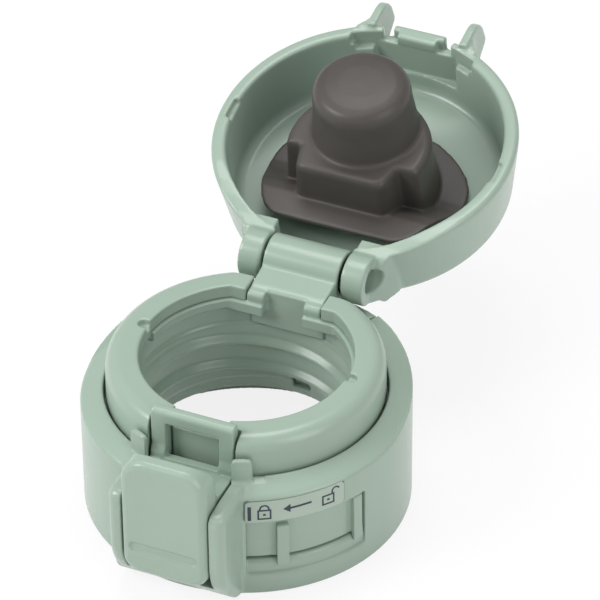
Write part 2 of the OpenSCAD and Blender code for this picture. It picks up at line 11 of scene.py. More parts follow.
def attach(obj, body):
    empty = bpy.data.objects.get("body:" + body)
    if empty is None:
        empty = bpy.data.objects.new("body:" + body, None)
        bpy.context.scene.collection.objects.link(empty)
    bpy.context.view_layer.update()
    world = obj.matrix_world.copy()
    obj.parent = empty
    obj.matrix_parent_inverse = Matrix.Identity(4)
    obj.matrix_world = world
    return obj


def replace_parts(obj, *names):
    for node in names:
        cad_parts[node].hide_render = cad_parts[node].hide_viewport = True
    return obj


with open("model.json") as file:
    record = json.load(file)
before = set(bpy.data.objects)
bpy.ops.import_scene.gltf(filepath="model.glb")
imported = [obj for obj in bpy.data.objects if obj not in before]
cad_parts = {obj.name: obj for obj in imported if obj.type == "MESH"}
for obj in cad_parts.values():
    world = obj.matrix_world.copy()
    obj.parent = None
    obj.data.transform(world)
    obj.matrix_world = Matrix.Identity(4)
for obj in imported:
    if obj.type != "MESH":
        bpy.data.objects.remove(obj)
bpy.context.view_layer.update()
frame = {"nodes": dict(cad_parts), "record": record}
NODES = frame["nodes"]
MM = 0.001

# Camera, fitted to the photograph: place in metres, then azimuth, elevation and roll in degrees
CAMERA_AT = (0.2848, -0.6265, 0.5830)
CAMERA_AZIMUTH = 23.56
CAMERA_ELEVATION = 37.94
CAMERA_ROLL = -0.55
SENSOR = 36.0
FOCAL_PIXELS = 4538.0
FRAME_PIXELS = 600.0

# Colours, linear
SAGE_DARK = (0.306, 0.400, 0.328, 1.0)
SAGE_LIGHT = (0.322, 0.418, 0.344, 1.0)
SILICONE_DARK = (0.062, 0.055, 0.051, 1.0)
SILICONE_LIGHT = (0.078, 0.070, 0.065, 1.0)
STEEL_DARK = (0.46, 0.46, 0.45, 1.0)
STEEL_LIGHT = (0.62, 0.62, 0.61, 1.0)
LABEL_DARK = (0.375, 0.455, 0.385, 1.0)
LABEL_LIGHT = (0.400, 0.480, 0.410, 1.0)
INK_DARK = (0.016, 0.034, 0.046, 1.0)
INK_LIGHT = (0.024, 0.046, 0.060, 1.0)

# The moulded pieces: node, voxel and smoothing passes, and share of the faces kept
MOULDED = (
    ("outer_shell", 0.20, 5, 0.22),
    ("inner_body", 0.22, 9, 0.28),
    ("cover_right", 0.18, 10, 0.40),
    ("cover_left", 0.18, 10, 0.40),
    ("open_button", 0.16, 10, 0.38),
    ("lock_slider", 0.14, 6, 0.50),
    ("lid_shell", 0.26, 9, 0.34),
    ("plug_seal", 0.24, 20, 0.40),
    ("seal_holder", 0.30, 4, 0.50),
)

# The label, in millimetres: its radius and thickness, its ends along the arc from the front, and the
# heights of its lower and upper edge at those ends
LABEL_R = 32.56
LABEL_T = 0.4
LABEL_X0 = 13.2
LABEL_X1 = 33.3
LABEL_LOW = (18.15, 18.35)
LABEL_HIGH = (23.2, 23.5)
LABEL_CORNER = 0.8

# The signs' ink: its radius, thickness and line width, the longest step along a line, and the
# padlocks' half width and height
INK_R = 32.54
INK_T = 0.06
INK_LINE = 0.34
INK_STEP = 0.4
PADLOCK_HALF = 1.18
PADLOCK_HIGH = 2.05

# The signs, as (x, z) on the label: a bar, the arrow's head and shaft, and the middle of each
# padlock's foot; then the keyhole's heights above the foot, and half the shackle's width
BAR = ((14.0, 18.72), (14.0, 22.12))
BAR_WIDTH = 0.68
ARROW_HEAD = ((20.5, 20.95), (21.95, 19.95), (21.95, 21.95))
ARROW_SHAFT = ((21.9, 20.95), (26.2, 21.25))
ARROW_WIDTH = 0.46
SHUT_PADLOCK = (16.88, 19.05)
OPEN_PADLOCK = (29.75, 19.55)
KEYHOLE = (0.78, 1.22)
KEYHOLE_WIDTH = 0.55
SHACKLE = 0.86

# The hinge's place and the angle that the lid stands open at, in millimetres and degrees
HINGE_Y = 31.0
HINGE_Z = 33.0
LID_TURN = 167.5

# The shell's pillars, and the bulge under the button: sides, front and rounded corners, then the arcs
# that close the front at the foot and at the top, each with its radius and its middle's height, then
# how the pillar meets the shell, where its top ends, and the heights of the sections
PILLAR_IN = 9.1
PILLAR_OUT = 12.1
PILLAR_FRONT = 38.9
PILLAR_CORNER = 1.8
PILLAR_EDGE = 1.5
PILLAR_EDGE_Z = 23.8
FOOT_ARC = 12.2
FOOT_ARC_Z = 12.5
TOP_ARC = 1.7
TOP_ARC_Z = 23.4
PILLAR_FLARE = 0.25
PILLAR_BACK_Z = 20.5
PILLAR_BACKS = (31.5, 27.0)
PILLAR_TOP_Z = 25.35
PILLAR_TOP_FRONT = 33.5
SHELL_INSIDE = 27.0
SHELL_FACE_R = 32.53
BULGE_HALF = 9.6
PILLAR_LEVELS = (0.4, 1, 2, 3.2, 4.6, 6, 7.6, 9.2, 10.8, 12.5, 16, 20, 23.4, 23.9, 24.4, 24.8, 25.0, 25.1)
BULGE_LEVELS = (0.4, 1, 2, 3, 4, 5, 5.7)

# What is cut off the CAD's pillars in plan: the angles along the shell's face, the ends in x, and how
# far it reaches to the front and in height
SPARE_TURNS = (21.9, 23, 24, 25, 26, 28)
SPARE_X = (12.15, 24)
SPARE_Y = -45
SPARE_Z = (-1, 30)

# The guide tabs on the shoulder: middle and half their reach in degrees, then radii, heights and the
# corner, and half the width and half the flat top that the corner is reckoned from
TAB_MIDDLE = 22.1
TAB_HALF = 4.1
TAB_IN = 27.95
TAB_OUT = 29.05
TAB_FOOT = 24.5
TAB_TOP = 30.4
TAB_CORNER = 1.0
TAB_WIDE = 1.9
TAB_FLAT = 0.9

# How far the button's face stands out and up, and the band behind the face that eases into it
FACE_OUT = 0.6
FACE_UP = 0.5
FACE_EASE_Y = 31.5
FACE_EASE = 3.0

# Sections that are turned about the shell's axis: the angles they start and end at, in degrees from
# the front towards the right, and their (r, z) outline. They are the room for the lock in the shell
# and the button, the lock's plate, the step below the window and the rail behind it, what the CAD's
# shoulder and tabs have to spare, the lid's rim, and the room for the tabs in it
SHELL_ROOM = (10.5, 24, ((29.2, 7.9), (31.15, 7.9), (31.15, 19.9), (29.2, 19.9)))
BUTTON_ROOM = (8, 24, ((20, 7.8), (31.1, 7.8), (31.1, 19.8), (20, 19.8)))
LOCK_PLATE = (22.6, 33.8, ((29.6, 8.3), (30.95, 8.3), (30.95, 19.4), (29.6, 19.4)))
WINDOW_STEP = (23.3, 68.0, ((31.75, 5.1), (34, 4.6), (34, 9), (31.75, 9)))
WINDOW_RAIL = (22.6, 68.4, ((30.6, 4.6), (31.75, 4.6), (31.75, 7.0), (31.5, 7.5), (30.6, 7.5)))
SHOULDER_SPARE = (13, 30, ((29.1, 25.68), (31.9, 24.24), (33.4, 23.5), (45, 23.5), (45, 45), (29.1, 45)))
TAB_SPARE = (25.6, 31, ((27.5, 26.16), (29.5, 25.4), (29.5, 44), (27.5, 44)))
LID_RIM = (14.5, 28.5, ((29.4, 27.2), (30.6, 27.0), (31.2, 27.5), (31.25, 28.0), (31.0, 31.5), (29.4, 31.5)))
TAB_ROOM = (16.8, 26.7, ((26.5, 25.5), (29.3, 25.5), (29.3, 30.9), (26.5, 30.9)))

# The hinge's bores: beside the ears for the spring, and outside for the pin's end
SPRING_ROOM_R = 3.3
PIN_BORE_R = 2.6
EAR_R = 5.1

# The seal: where its axis stands, the block's round part and its corners, and the flange's thickness,
# its height at its deepest, how far it rises from there, and where and over what length it does
PLUG_Y = -1.1
BLOCK_R = 14.8
BLOCK_MIDDLE_Y = 3
BLOCK_CORNER = 1.7
FLANGE_T = 1.1
FLANGE_DEEP = 39.6
FLANGE_RISE = 5.2
FLANGE_RISE_Y = 1.5
FLANGE_RISE_OVER = 11.5

# The seal's holder, as (r, z): the post, the disc, and the disc's middle
HOLDER_POST = ((0.05, 15.2), (7.5, 15.2), (7.5, 41.0), (0.05, 41.0))
HOLDER_DISC = ((0.05, 40.8), (13.0, 40.8), (13.0, 41.9), (0.05, 41.9))
HOLDER_DISC_Y = 1.0

# Surroundings: the floor, the world's light, and lamps by name, place, size and watts
FLOOR_HALF = 3.0
FLOOR_GLOW = 0.85
WORLD_LIGHT = 0.49
LAMPS = (
    ("key", (-0.75, -0.60, 0.80), (0.6, 0.5), 8.5),
    ("fill", (0.95, -0.35, 0.55), (0.5, 0.7), 3.0),
    ("top", (-0.15, 0.25, 1.2), (0.7, 0.6), 6.2),
)


def add_camera():
    azimuth, elevation, roll = map(math.radians, (CAMERA_AZIMUTH, CAMERA_ELEVATION, CAMERA_ROLL))
    back = Vector((
        math.sin(azimuth) * math.cos(elevation),
        -math.cos(azimuth) * math.cos(elevation),
        math.sin(elevation),
    ))
    right = Vector((math.cos(azimuth), math.sin(azimuth), 0.0))
    up = back.cross(right)
    rolled_right = right * math.cos(roll) + up * math.sin(roll)
    rolled_up = up * math.cos(roll) - right * math.sin(roll)
    data = bpy.data.cameras.new("camera")
    data.sensor_width = SENSOR
    data.lens = FOCAL_PIXELS / FRAME_PIXELS * SENSOR
    data.clip_start = 0.05
    data.clip_end = 20.0
    camera = bpy.data.objects.new("camera", data)
    bpy.context.scene.collection.objects.link(camera)
    turn = Matrix((rolled_right, rolled_up, back)).transposed().to_4x4()
    camera.matrix_world = Matrix.Translation(CAMERA_AT) @ turn
    bpy.context.scene.camera = camera


# Materials


class Tree:
    """A material's node tree, with object coordinates and a shader to fill in."""

    def __init__(self, name):
        self.material = bpy.data.materials.new(name)
        self.material.use_nodes = True
        self.nodes = self.material.node_tree.nodes
        self.shader = self.nodes["Principled BSDF"]
        self.place = self.nodes.new("ShaderNodeTexCoord").outputs["Object"]

    def link(self, source, target):
        self.material.node_tree.links.new(source, target)

    def noise(self, scale, detail=3.0, rough=0.5):
        node = self.nodes.new("ShaderNodeTexNoise")
        node.inputs["Scale"].default_value = scale
        node.inputs["Detail"].default_value = detail
        node.inputs["Roughness"].default_value = rough
        self.link(self.place, node.inputs["Vector"])
        return node.outputs["Fac"]

    def colours(self, factor, dark, light, low=0.35, high=0.65):
        ramp = self.nodes.new("ShaderNodeValToRGB")
        ramp.color_ramp.elements[0].position = low
        ramp.color_ramp.elements[0].color = dark
        ramp.color_ramp.elements[1].position = high
        ramp.color_ramp.elements[1].color = light
        self.link(factor, ramp.inputs["Fac"])
        self.link(ramp.outputs["Color"], self.shader.inputs["Base Color"])

    def roughness(self, factor, low, high):
        spread = self.nodes.new("ShaderNodeMapRange")
        spread.inputs["From Min"].default_value = 0.3
        spread.inputs["From Max"].default_value = 0.7
        spread.inputs["To Min"].default_value = low
        spread.inputs["To Max"].default_value = high
        self.link(factor, spread.inputs["Value"])
        self.link(spread.outputs["Result"], self.shader.inputs["Roughness"])

    def bumps(self, *layers):
        """Each layer is (height, strength, distance in metres); the first is the finest."""
        normal = None
        for height, strength, distance in layers:
            bump = self.nodes.new("ShaderNodeBump")
            bump.inputs["Strength"].default_value = strength
            bump.inputs["Distance"].default_value = distance
            self.link(height, bump.inputs["Height"])
            if normal:
                self.link(normal, bump.inputs["Normal"])
            normal = bump.outputs["Normal"]
        self.link(normal, self.shader.inputs["Normal"])

    def set(self, **values):
        for name, value in values.items():
            self.shader.inputs[name.replace("_", " ")].default_value = value


def plastic_material():
    tree = Tree("sage_plastic")
    tree.colours(tree.noise(28.0, 2.0), SAGE_DARK, SAGE_LIGHT)
    tree.roughness(tree.noise(90.0, 4.0), 0.24, 0.27)
    tree.bumps((tree.noise(3200.0, 2.0), 0.10, 0.00002), (tree.noise(110.0, 0.0), 0.06, 0.00010))
    tree.set(IOR=1.50)
    return tree.material


def label_material():
    tree = Tree("label_film")
    tree.colours(tree.noise(60.0, 2.0), LABEL_DARK, LABEL_LIGHT)
    tree.roughness(tree.noise(400.0, 3.0), 0.42, 0.52)
    tree.bumps((tree.noise(5000.0, 2.0), 0.15, 0.00002))
    return tree.material


def ink_material():
    tree = Tree("ink")
    tree.colours(tree.noise(600.0, 2.0), INK_DARK, INK_LIGHT)
    tree.roughness(tree.noise(900.0, 2.0), 0.40, 0.55)
    tree.bumps((tree.noise(6000.0, 2.0), 0.15, 0.00002))
    return tree.material


def silicone_material():
    tree = Tree("silicone")
    tree.colours(tree.noise(40.0, 3.0), SILICONE_DARK, SILICONE_LIGHT)
    tree.roughness(tree.noise(120.0, 4.0), 0.36, 0.46)
    tree.bumps((tree.noise(2600.0, 3.0), 0.20, 0.00003), (tree.noise(220.0, 2.0), 0.10, 0.00008))
    tree.set(IOR=1.43)
    return tree.material


def steel_material():
    tree = Tree("steel")
    tree.colours(tree.noise(300.0, 3.0), STEEL_DARK, STEEL_LIGHT)
    tree.roughness(tree.noise(700.0, 3.0), 0.20, 0.34)
    tree.bumps((tree.noise(3000.0, 2.0), 0.20, 0.00002))
    tree.set(Metallic=1.0)
    return tree.material


# Pieces


def linked(name, mesh):
    piece = bpy.data.objects.new(name, mesh)
    bpy.context.scene.collection.objects.link(piece)
    return piece


class Form:
    """A closed mesh under construction, in millimetres."""

    def __init__(self):
        self.work = bmesh.new()

    def loft(self, sections):
        """A closed skin over sections that have the same number of (x, y, z) points each."""
        rows = [[self.work.verts.new(point) for point in section] for section in sections]
        count = len(rows[0])
        faces = [rows[0][::-1], rows[-1]]
        for a, b in zip(rows, rows[1:]):
            faces += [(a[i], a[(i + 1) % count], b[(i + 1) % count], b[i]) for i in range(count)]
        made = [self.work.faces.new(face) for face in faces]
        bmesh.ops.recalc_face_normals(self.work, faces=made)
        return self

    def prism(self, outline, axis, low, high):
        """An outline drawn out along an axis: (y, z) points along x, or (x, y) points along z."""
        place = {"x": lambda a, b, c: (c, a, b), "z": lambda a, b, c: (a, b, c)}[axis]
        return self.loft([[place(a, b, c) for a, b in outline] for c in (low, high)])

    def turned(self, section, steps=12):
        """A section's outline turned about Z, from its first angle to its second."""
        start, end, outline = section
        turns = [math.radians(start + (end - start) * i / steps) for i in range(steps + 1)]
        return self.loft([[(math.sin(a) * r, -math.cos(a) * r, z) for r, z in outline] for a in turns])

    def wheel(self, outline, x, y, steps=72):
        """A whole (r, z) outline turned about an upright axis at x, y; it starts and ends on the axis."""
        turns = [2 * math.pi * i / steps for i in range(steps)]
        return self.loft([[(x + math.cos(a) * r, y + math.sin(a) * r, z) for a in turns] for r, z in outline])

    def add(self, other):
        mesh = bpy.data.meshes.new("part")
        other.work.to_mesh(mesh)
        self.work.from_mesh(mesh)
        bpy.data.meshes.remove(mesh)
        return self

    def mirrored(self):
        """Adds the mirror image about the middle plane."""
        copy = Form()
        copy.add(self)
        bmesh.ops.scale(copy.work, vec=(-1, 1, 1), verts=copy.work.verts)
        bmesh.ops.reverse_faces(copy.work, faces=copy.work.faces)
        return self.add(copy)

    def combined(self, other, operation):
        """The intersection or difference with another form."""
        pair = []
        for form in (self, other):
            mesh = bpy.data.meshes.new("part")
            form.work.to_mesh(mesh)
            pair.append(linked("part", mesh))
        cut = pair[0].modifiers.new("cut", "BOOLEAN")
        cut.operation = operation
        cut.solver = "EXACT"
        cut.use_self = True
        cut.object = pair[1]
        graph = bpy.context.evaluated_depsgraph_get()
        ready = bpy.data.meshes.new_from_object(pair[0].evaluated_get(graph))
        self.work.clear()
        self.work.from_mesh(ready)
        for piece in pair:
            bpy.data.objects.remove(piece)
        return self

    def opened(self):
        """Swings the form from the lid's shut place to its open one."""
        pin = Vector((0, HINGE_Y, HINGE_Z))
        turn = Matrix.Rotation(math.radians(-LID_TURN), 4, "X")
        self.work.transform(Matrix.Translation(pin) @ turn @ Matrix.Translation(-pin))
        return self


def form_of(node):
    """The CAD node's own solid as a form."""
    form = Form()
    form.work.from_mesh(NODES[node].data)
    form.work.transform(Matrix.Scale(1 / MM, 4) @ NODES[node].matrix_world)
    bmesh.ops.remove_doubles(form.work, verts=form.work.verts, dist=2e-4)
    return form


def moulded(node, form, body, voxel, passes, keep, material):
    """The form as it comes out of the mould, in one piece and with its edges softened."""
    form.work.transform(Matrix.Scale(MM, 4))
    mesh = bpy.data.meshes.new(node + "_moulded")
    form.work.to_mesh(mesh)
    form.work.free()
    piece = linked(node + "_moulded", mesh)
    remesh = piece.modifiers.new("remesh", "REMESH")
    remesh.mode = "VOXEL"
    remesh.voxel_size = voxel * MM
    remesh.use_smooth_shade = True
    soften = piece.modifiers.new("soften", "SMOOTH")
    soften.factor = 0.5
    soften.iterations = passes
    thin = piece.modifiers.new("thin", "DECIMATE")
    thin.ratio = keep
    graph = bpy.context.evaluated_depsgraph_get()
    ready = bpy.data.meshes.new_from_object(piece.evaluated_get(graph))
    piece.modifiers.clear()
    piece.data = ready
    ready.materials.clear()
    ready.materials.append(material)
    for polygon in ready.polygons:
        polygon.use_smooth = True
    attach(piece, body)
    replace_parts(piece, node)


# Forms of each moulding beyond its CAD solid


def corner(cx, cz, r, a0, a1, n=6):
    angles = [math.radians(a0 + (a1 - a0) * i / n) for i in range(n + 1)]
    return [(cx + r * math.cos(a), cz + r * math.sin(a)) for a in angles]


def pillar_front(z):
    """How far the pillars and the bulge under the button stand out at a height."""
    if z < FOOT_ARC_Z:
        return PILLAR_FRONT - FOOT_ARC + math.sqrt(max(0.0, FOOT_ARC ** 2 - (FOOT_ARC_Z - z) ** 2))
    if z > TOP_ARC_Z:
        return PILLAR_FRONT - TOP_ARC + math.sqrt(max(0.0, TOP_ARC ** 2 - (z - TOP_ARC_Z) ** 2))
    return PILLAR_FRONT


def pillar_section(z):
    """The pillar's plan at a height, from its inner side round the front to its outer side."""
    front = pillar_front(z)
    above = max(0.0, z - PILLAR_EDGE_Z)
    side = PILLAR_OUT - PILLAR_EDGE + math.sqrt(max(0.0, PILLAR_EDGE ** 2 - above ** 2))
    back = PILLAR_BACKS[0] if z < PILLAR_BACK_Z else PILLAR_BACKS[1]
    points = [(PILLAR_IN, -back), (PILLAR_IN, -front)]
    rounded = corner(side - PILLAR_CORNER, PILLAR_CORNER - front, PILLAR_CORNER, 270, 360)
    points += [(x, min(y, -27.6)) for x, y in rounded]
    points += [(side, min(-28.6, 6 - front))]
    side += PILLAR_FLARE
    points += [(side, min(-28.2, 1.0 - back)), (side, min(-SHELL_INSIDE, 2.0 - back))]
    return [(x, y, z) for x, y in points]


def pillar_spare():
    """What the CAD's pillars and shoulder have beyond the moulded ones, and the lock's way behind."""
    turns = map(math.radians, SPARE_TURNS)
    edge = [(SHELL_FACE_R * math.sin(a), -SHELL_FACE_R * math.cos(a)) for a in turns]
    outline = [(SPARE_X[0], SPARE_Y)] + edge + [(SPARE_X[1], SPARE_Y)]
    spare = Form().prism(outline, "z", *SPARE_Z)
    spare.turned(SHOULDER_SPARE)
    spare.turned(TAB_SPARE)
    spare.turned(SHELL_ROOM)
    return spare.mirrored()


def guide_tab():
    """A tab that follows the ring, with its two upper corners rounded."""
    sections = []
    for i in range(17):
        along = -1 + i / 8
        angle = math.radians(TAB_MIDDLE + TAB_HALF * along)
        past = max(0.0, abs(along) * TAB_WIDE - TAB_FLAT)
        top = TAB_TOP - TAB_CORNER + math.sqrt(max(0.0, TAB_CORNER ** 2 - past ** 2))
        outline = ((TAB_IN, TAB_FOOT), (TAB_OUT, TAB_FOOT), (TAB_OUT, top), (TAB_IN, top))
        sections.append([(math.sin(angle) * r, -math.cos(angle) * r, z) for r, z in outline])
    return Form().loft(sections)


def shell_form():
    spare = pillar_spare()
    spare.turned(WINDOW_STEP, steps=40)
    form = form_of("outer_shell").combined(spare, "DIFFERENCE")
    form.add(Form().turned(WINDOW_RAIL, steps=40))
    sections = [pillar_section(z) for z in PILLAR_LEVELS]
    top = [(x * 0.98 + 0.2, max(y, -PILLAR_TOP_FRONT), PILLAR_TOP_Z) for x, y, z in sections[-1]]
    form.add(Form().loft(sections + [top]).mirrored())
    bulge = []
    for z in BULGE_LEVELS:
        near, far = -SHELL_INSIDE, -pillar_front(z)
        plan = ((-BULGE_HALF, near), (-BULGE_HALF, far), (BULGE_HALF, far), (BULGE_HALF, near))
        bulge.append([(x, y, z) for x, y in plan])
    form.add(Form().loft(bulge))
    return form.add(guide_tab().mirrored())


def button_form():
    form = form_of("open_button").combined(Form().turned(BUTTON_ROOM).mirrored(), "DIFFERENCE")
    for vert in form.work.verts:
        share = min(1.0, max(0.0, (-vert.co.y - FACE_EASE_Y) / FACE_EASE))
        vert.co.y -= FACE_OUT * share
        vert.co.z += FACE_UP * share
    return form


def slider_form():
    return form_of("lock_slider").add(Form().turned(LOCK_PLATE))


# Outlines of the lid's fins and ears, shut: from the side as (y, z), and in plan as (x, y)
FIN_SIDE = (
    (-28.6, 31.0), (-28.6, 26.05), (-33.5, 26.05), (-35.2, 26.5), (-36.6, 27.6), (-37.6, 29.3), (-38.3, 31.9),
    (-38.6, 33.3), (-38.4, 34.0), (-37.7, 34.5), (-33.5, 36.6), (-29.4, 39.6), (-27.2, 40.8), (-27.4, 33.0),
)
FIN_FLARE = (
    (9.6, -28.8), (9.6, -33.4), (11.15, -33.2), (11.3, -31.7), (11.7, -30.6), (12.4, -29.5), (13.3, -28.5),
    (14.2, -27.4), (14.0, -26.6),
)
EAR_SIDE = (
    (24.0, 29.4), (26.5, 29.2), (27.6, 29.4), (31.0, 32.0), (34.9, 35.9), (34.0, 37.2), (32.2, 38.3),
    (29.8, 39.6), (28.8, 41.2), (24.0, 41.2),
)
EAR_PLAN = (
    (8.7, 22.0), (8.7, 39.0), (11.0, 39.0), (12.0, 35.6), (14.1, 31.0), (16.6, 25.6), (17.3, 22.0),
)


# Where those parts and their bores start and end along x, the heights that the plans are drawn out
# between, and how far the flare stands behind and above the fin
FIN_X = (9.2, 11.1)
FLARE_X = (9.4, 19.0)
FLARE_Z = (26.9, 50)
FLARE_BACK = 0.2
FLARE_UP = 0.35
EAR_X = (8.9, 19.0)
EAR_Z = (20, 60)
EAR_DISC_X = (9.0, 13.4)
PIN_BORE_X = (10.2, 30.0)
SPRING_ROOM_X = (8.2, 8.95)


def disc_round_the_pin(radius, low, high):
    return Form().prism(corner(HINGE_Y, HINGE_Z, radius, 0, 350, 35), "x", low, high)


def fin_form():
    """A fin, with the flare of its root into the rim."""
    flare = Form().prism([(y + FLARE_BACK, z + FLARE_UP) for y, z in FIN_SIDE], "x", *FLARE_X)
    flare.combined(Form().prism(FIN_FLARE, "z", *FLARE_Z), "INTERSECT")
    return Form().prism(FIN_SIDE, "x", *FIN_X).add(flare)


def ear_form():
    """An ear with its slanted outer side and the bore for the pin's end."""
    ear = Form().prism(EAR_SIDE, "x", *EAR_X)
    ear.combined(Form().prism(EAR_PLAN, "z", *EAR_Z), "INTERSECT")
    ear.add(disc_round_the_pin(EAR_R, *EAR_DISC_X))
    return ear.combined(disc_round_the_pin(PIN_BORE_R, *PIN_BORE_X), "DIFFERENCE")


def lid_form():
    extra = fin_form()
    extra.turned(LID_RIM)
    extra.add(ear_form())
    # room for the guide tabs in the rim, and for the hinge's spring beside the ears
    room = Form().turned(TAB_ROOM)
    room.add(disc_round_the_pin(SPRING_ROOM_R, *SPRING_ROOM_X))
    form = form_of("lid_shell").combined(room.mirrored().opened(), "DIFFERENCE")
    return form.add(extra.mirrored().opened())


# The seal's flange in plan, from its far edge to the hinge's side, as (y, half its width)
FLANGE = (
    (-15.0, 1.5), (-14.6, 4.5), (-13.9, 7.5), (-13.0, 10.3), (-10.9, 13.8), (-9.0, 16.2), (-6.1, 19.0),
    (-3.2, 20.6), (-1.0, 21.1), (1.5, 21.3), (4.0, 21.0), (7.0, 20.2), (9.8, 19.4), (12.4, 18.4),
    (14.9, 17.3), (17.0, 15.8), (18.2, 14.2), (18.8, 12.6),
)


# The block's straight part in plan as (x, y), its share of that size at each height, and the head
# as (r, z)
BLOCK_FRONT = ((-11.2, -4.0), (10.2, -4.0), (10.2, 7.4), (9.0, 12.9), (-10.0, 12.9), (-11.2, 7.4))
BLOCK_LEVELS = ((25.6, 0.92), (25.75, 0.95), (26.2, 0.98), (27.0, 1.0), (38.5, 1.05), (40.2, 1.07))
HEAD = (
    (0.05, 11.9), (4.5, 12.05), (7.2, 12.4), (8.8, 13.0), (9.7, 14.0), (10.05, 15.3), (10.1, 17.0),
    (10.2, 19.0), (10.55, 22), (10.9, 25), (11.2, 25.6), (11.2, 30),
)


def flange_height(y):
    """The flange lies on the dome in front and rises towards the hinge."""
    share = min(1.0, max(0.0, (y - FLANGE_RISE_Y) / FLANGE_RISE_OVER))
    return FLANGE_DEEP - FLANGE_RISE * (3 * share ** 2 - 2 * share ** 3)


def eased(outline, reach):
    """The outline with each corner cut back and rounded, as far as reach or a third of its shorter side."""
    points = []
    for before, at, after in zip(outline[-1:] + outline[:-1], outline, outline[1:] + outline[:1]):
        at = Vector(at)
        arms = [Vector(before) - at, Vector(after) - at]
        size = min(reach, arms[0].length / 3, arms[1].length / 3)
        start, end = (at + arm.normalized() * size for arm in arms)
        points += [tuple(start.lerp(at, t).lerp(at.lerp(end, t), t)) for t in (0.0, 0.25, 0.5, 0.75, 1.0)]
    return points


def seal_form():
    form = Form()
    flange = []
    for y, half in FLANGE:
        low = flange_height(y)
        high = low + FLANGE_T
        flange.append([(-half, y, low), (half, y, low), (half, y, high), (-half, y, high)])
    form.loft(flange)
    # stepped block, with rounded edges and a little wider at its foot
    turns = map(math.radians, range(106, -107, -4))
    round_part = [(BLOCK_R * math.sin(a), BLOCK_MIDDLE_Y - BLOCK_R * math.cos(a)) for a in turns]
    for outline in ([(10.2, 7.2)] + round_part + [(-10.2, 7.2)], list(BLOCK_FRONT)):
        smooth = eased(outline, BLOCK_CORNER)
        form.loft([[(x * scale, 1 + (y - 1) * scale, z) for x, y in smooth] for z, scale in BLOCK_LEVELS])
    return form.wheel(HEAD, 0.0, PLUG_Y).opened()


def holder_form():
    """What carries the seal: a disc on the dome and the post inside the plug."""
    form = Form().wheel(HOLDER_POST, 0.0, PLUG_Y)
    return form.wheel(HOLDER_DISC, 0.0, HOLDER_DISC_Y).opened()


def round_the_shell(x, z, radius):
    """A point of the label, x along the arc from the front and z up, in millimetres, on the shell."""
    angle = x / LABEL_R
    return Vector((math.sin(angle) * radius, -math.cos(angle) * radius, z)) * MM


def add_plate(work, outline, inner, outer):
    """A thin plate on the shell, between two radii, from an outline of (x, z) points in order."""
    rows = [[work.verts.new(round_the_shell(x, z, r)) for x, z in outline] for r in (inner, outer)]
    count = len(outline)
    for i in range(count):
        j = (i + 1) % count
        work.faces.new((rows[0][i], rows[0][j], rows[1][j], rows[1][i]))
    for row, turn in ((rows[0], -1), (rows[1], 1)):
        work.faces.new(row[::turn])


def finish_piece(work, name, body, material):
    bmesh.ops.recalc_face_normals(work, faces=work.faces)
    bmesh.ops.triangulate(work, faces=work.faces)
    mesh = bpy.data.meshes.new(name)
    work.to_mesh(mesh)
    work.free()
    mesh.materials.append(material)
    piece = linked(name, mesh)
    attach(piece, body)
    return piece


def add_stroke(work, points, width):
    """A stroke of ink along points, of even width; the first point is given again at the end to close it."""
    closed = points[0] == points[-1]
    fine = []
    for start, end in zip(points, points[1:]):
        count = max(1, math.ceil(abs(end[0] - start[0]) / INK_STEP))
        fine += [(start[0] + (end[0] - start[0]) * k / count, start[1] + (end[1] - start[1]) * k / count)
                 for k in range(count)]
    points = fine + [points[-1]]
    sides = []
    last = len(points) - 1
    for i, point in enumerate(points):
        before = points[i - 1] if i > 0 else (points[last - 1] if closed else points[0])
        after = points[i + 1] if i < last else (points[1] if closed else points[last])
        a = Vector((point[0] - before[0], point[1] - before[1]))
        b = Vector((after[0] - point[0], after[1] - point[1]))
        a = a.normalized() if a.length else b.normalized()
        b = b.normalized() if b.length else a
        across = Vector((-(a + b).y, (a + b).x)).normalized()
        half = width / 2 / max(0.5, across.dot(Vector((-a.y, a.x))))
        sides.append([(point[0] + k * half * across.x, point[1] + k * half * across.y) for k in (1, -1)])
    grid = [
        [work.verts.new(round_the_shell(x, z, r)) for (x, z), r in
         ((left, INK_R), (left, INK_R + INK_T), (right, INK_R + INK_T), (right, INK_R))]
        for left, right in sides
    ]
    for a, b in zip(grid, grid[1:]):
        for i in range(4):
            j = (i + 1) % 4
            work.faces.new((a[i], a[j], b[j], b[i]))
    if not closed:
        work.faces.new(grid[0][::-1])
        work.faces.new(grid[-1])


def add_padlock(work, middle, foot, shackle):
    """A padlock: the body's frame, its keyhole, and a shackle given from the body's top middle."""
    low, high = foot, foot + PADLOCK_HIGH
    left, right = middle - PADLOCK_HALF, middle + PADLOCK_HALF
    body = [(left, low), (right, low), (right, high), (left, high)]
    add_stroke(work, body + body[:1], INK_LINE)
    add_stroke(work, [(middle, low + z) for z in KEYHOLE], KEYHOLE_WIDTH)
    add_stroke(work, [(middle + x, high + z) for x, z in shackle], INK_LINE)


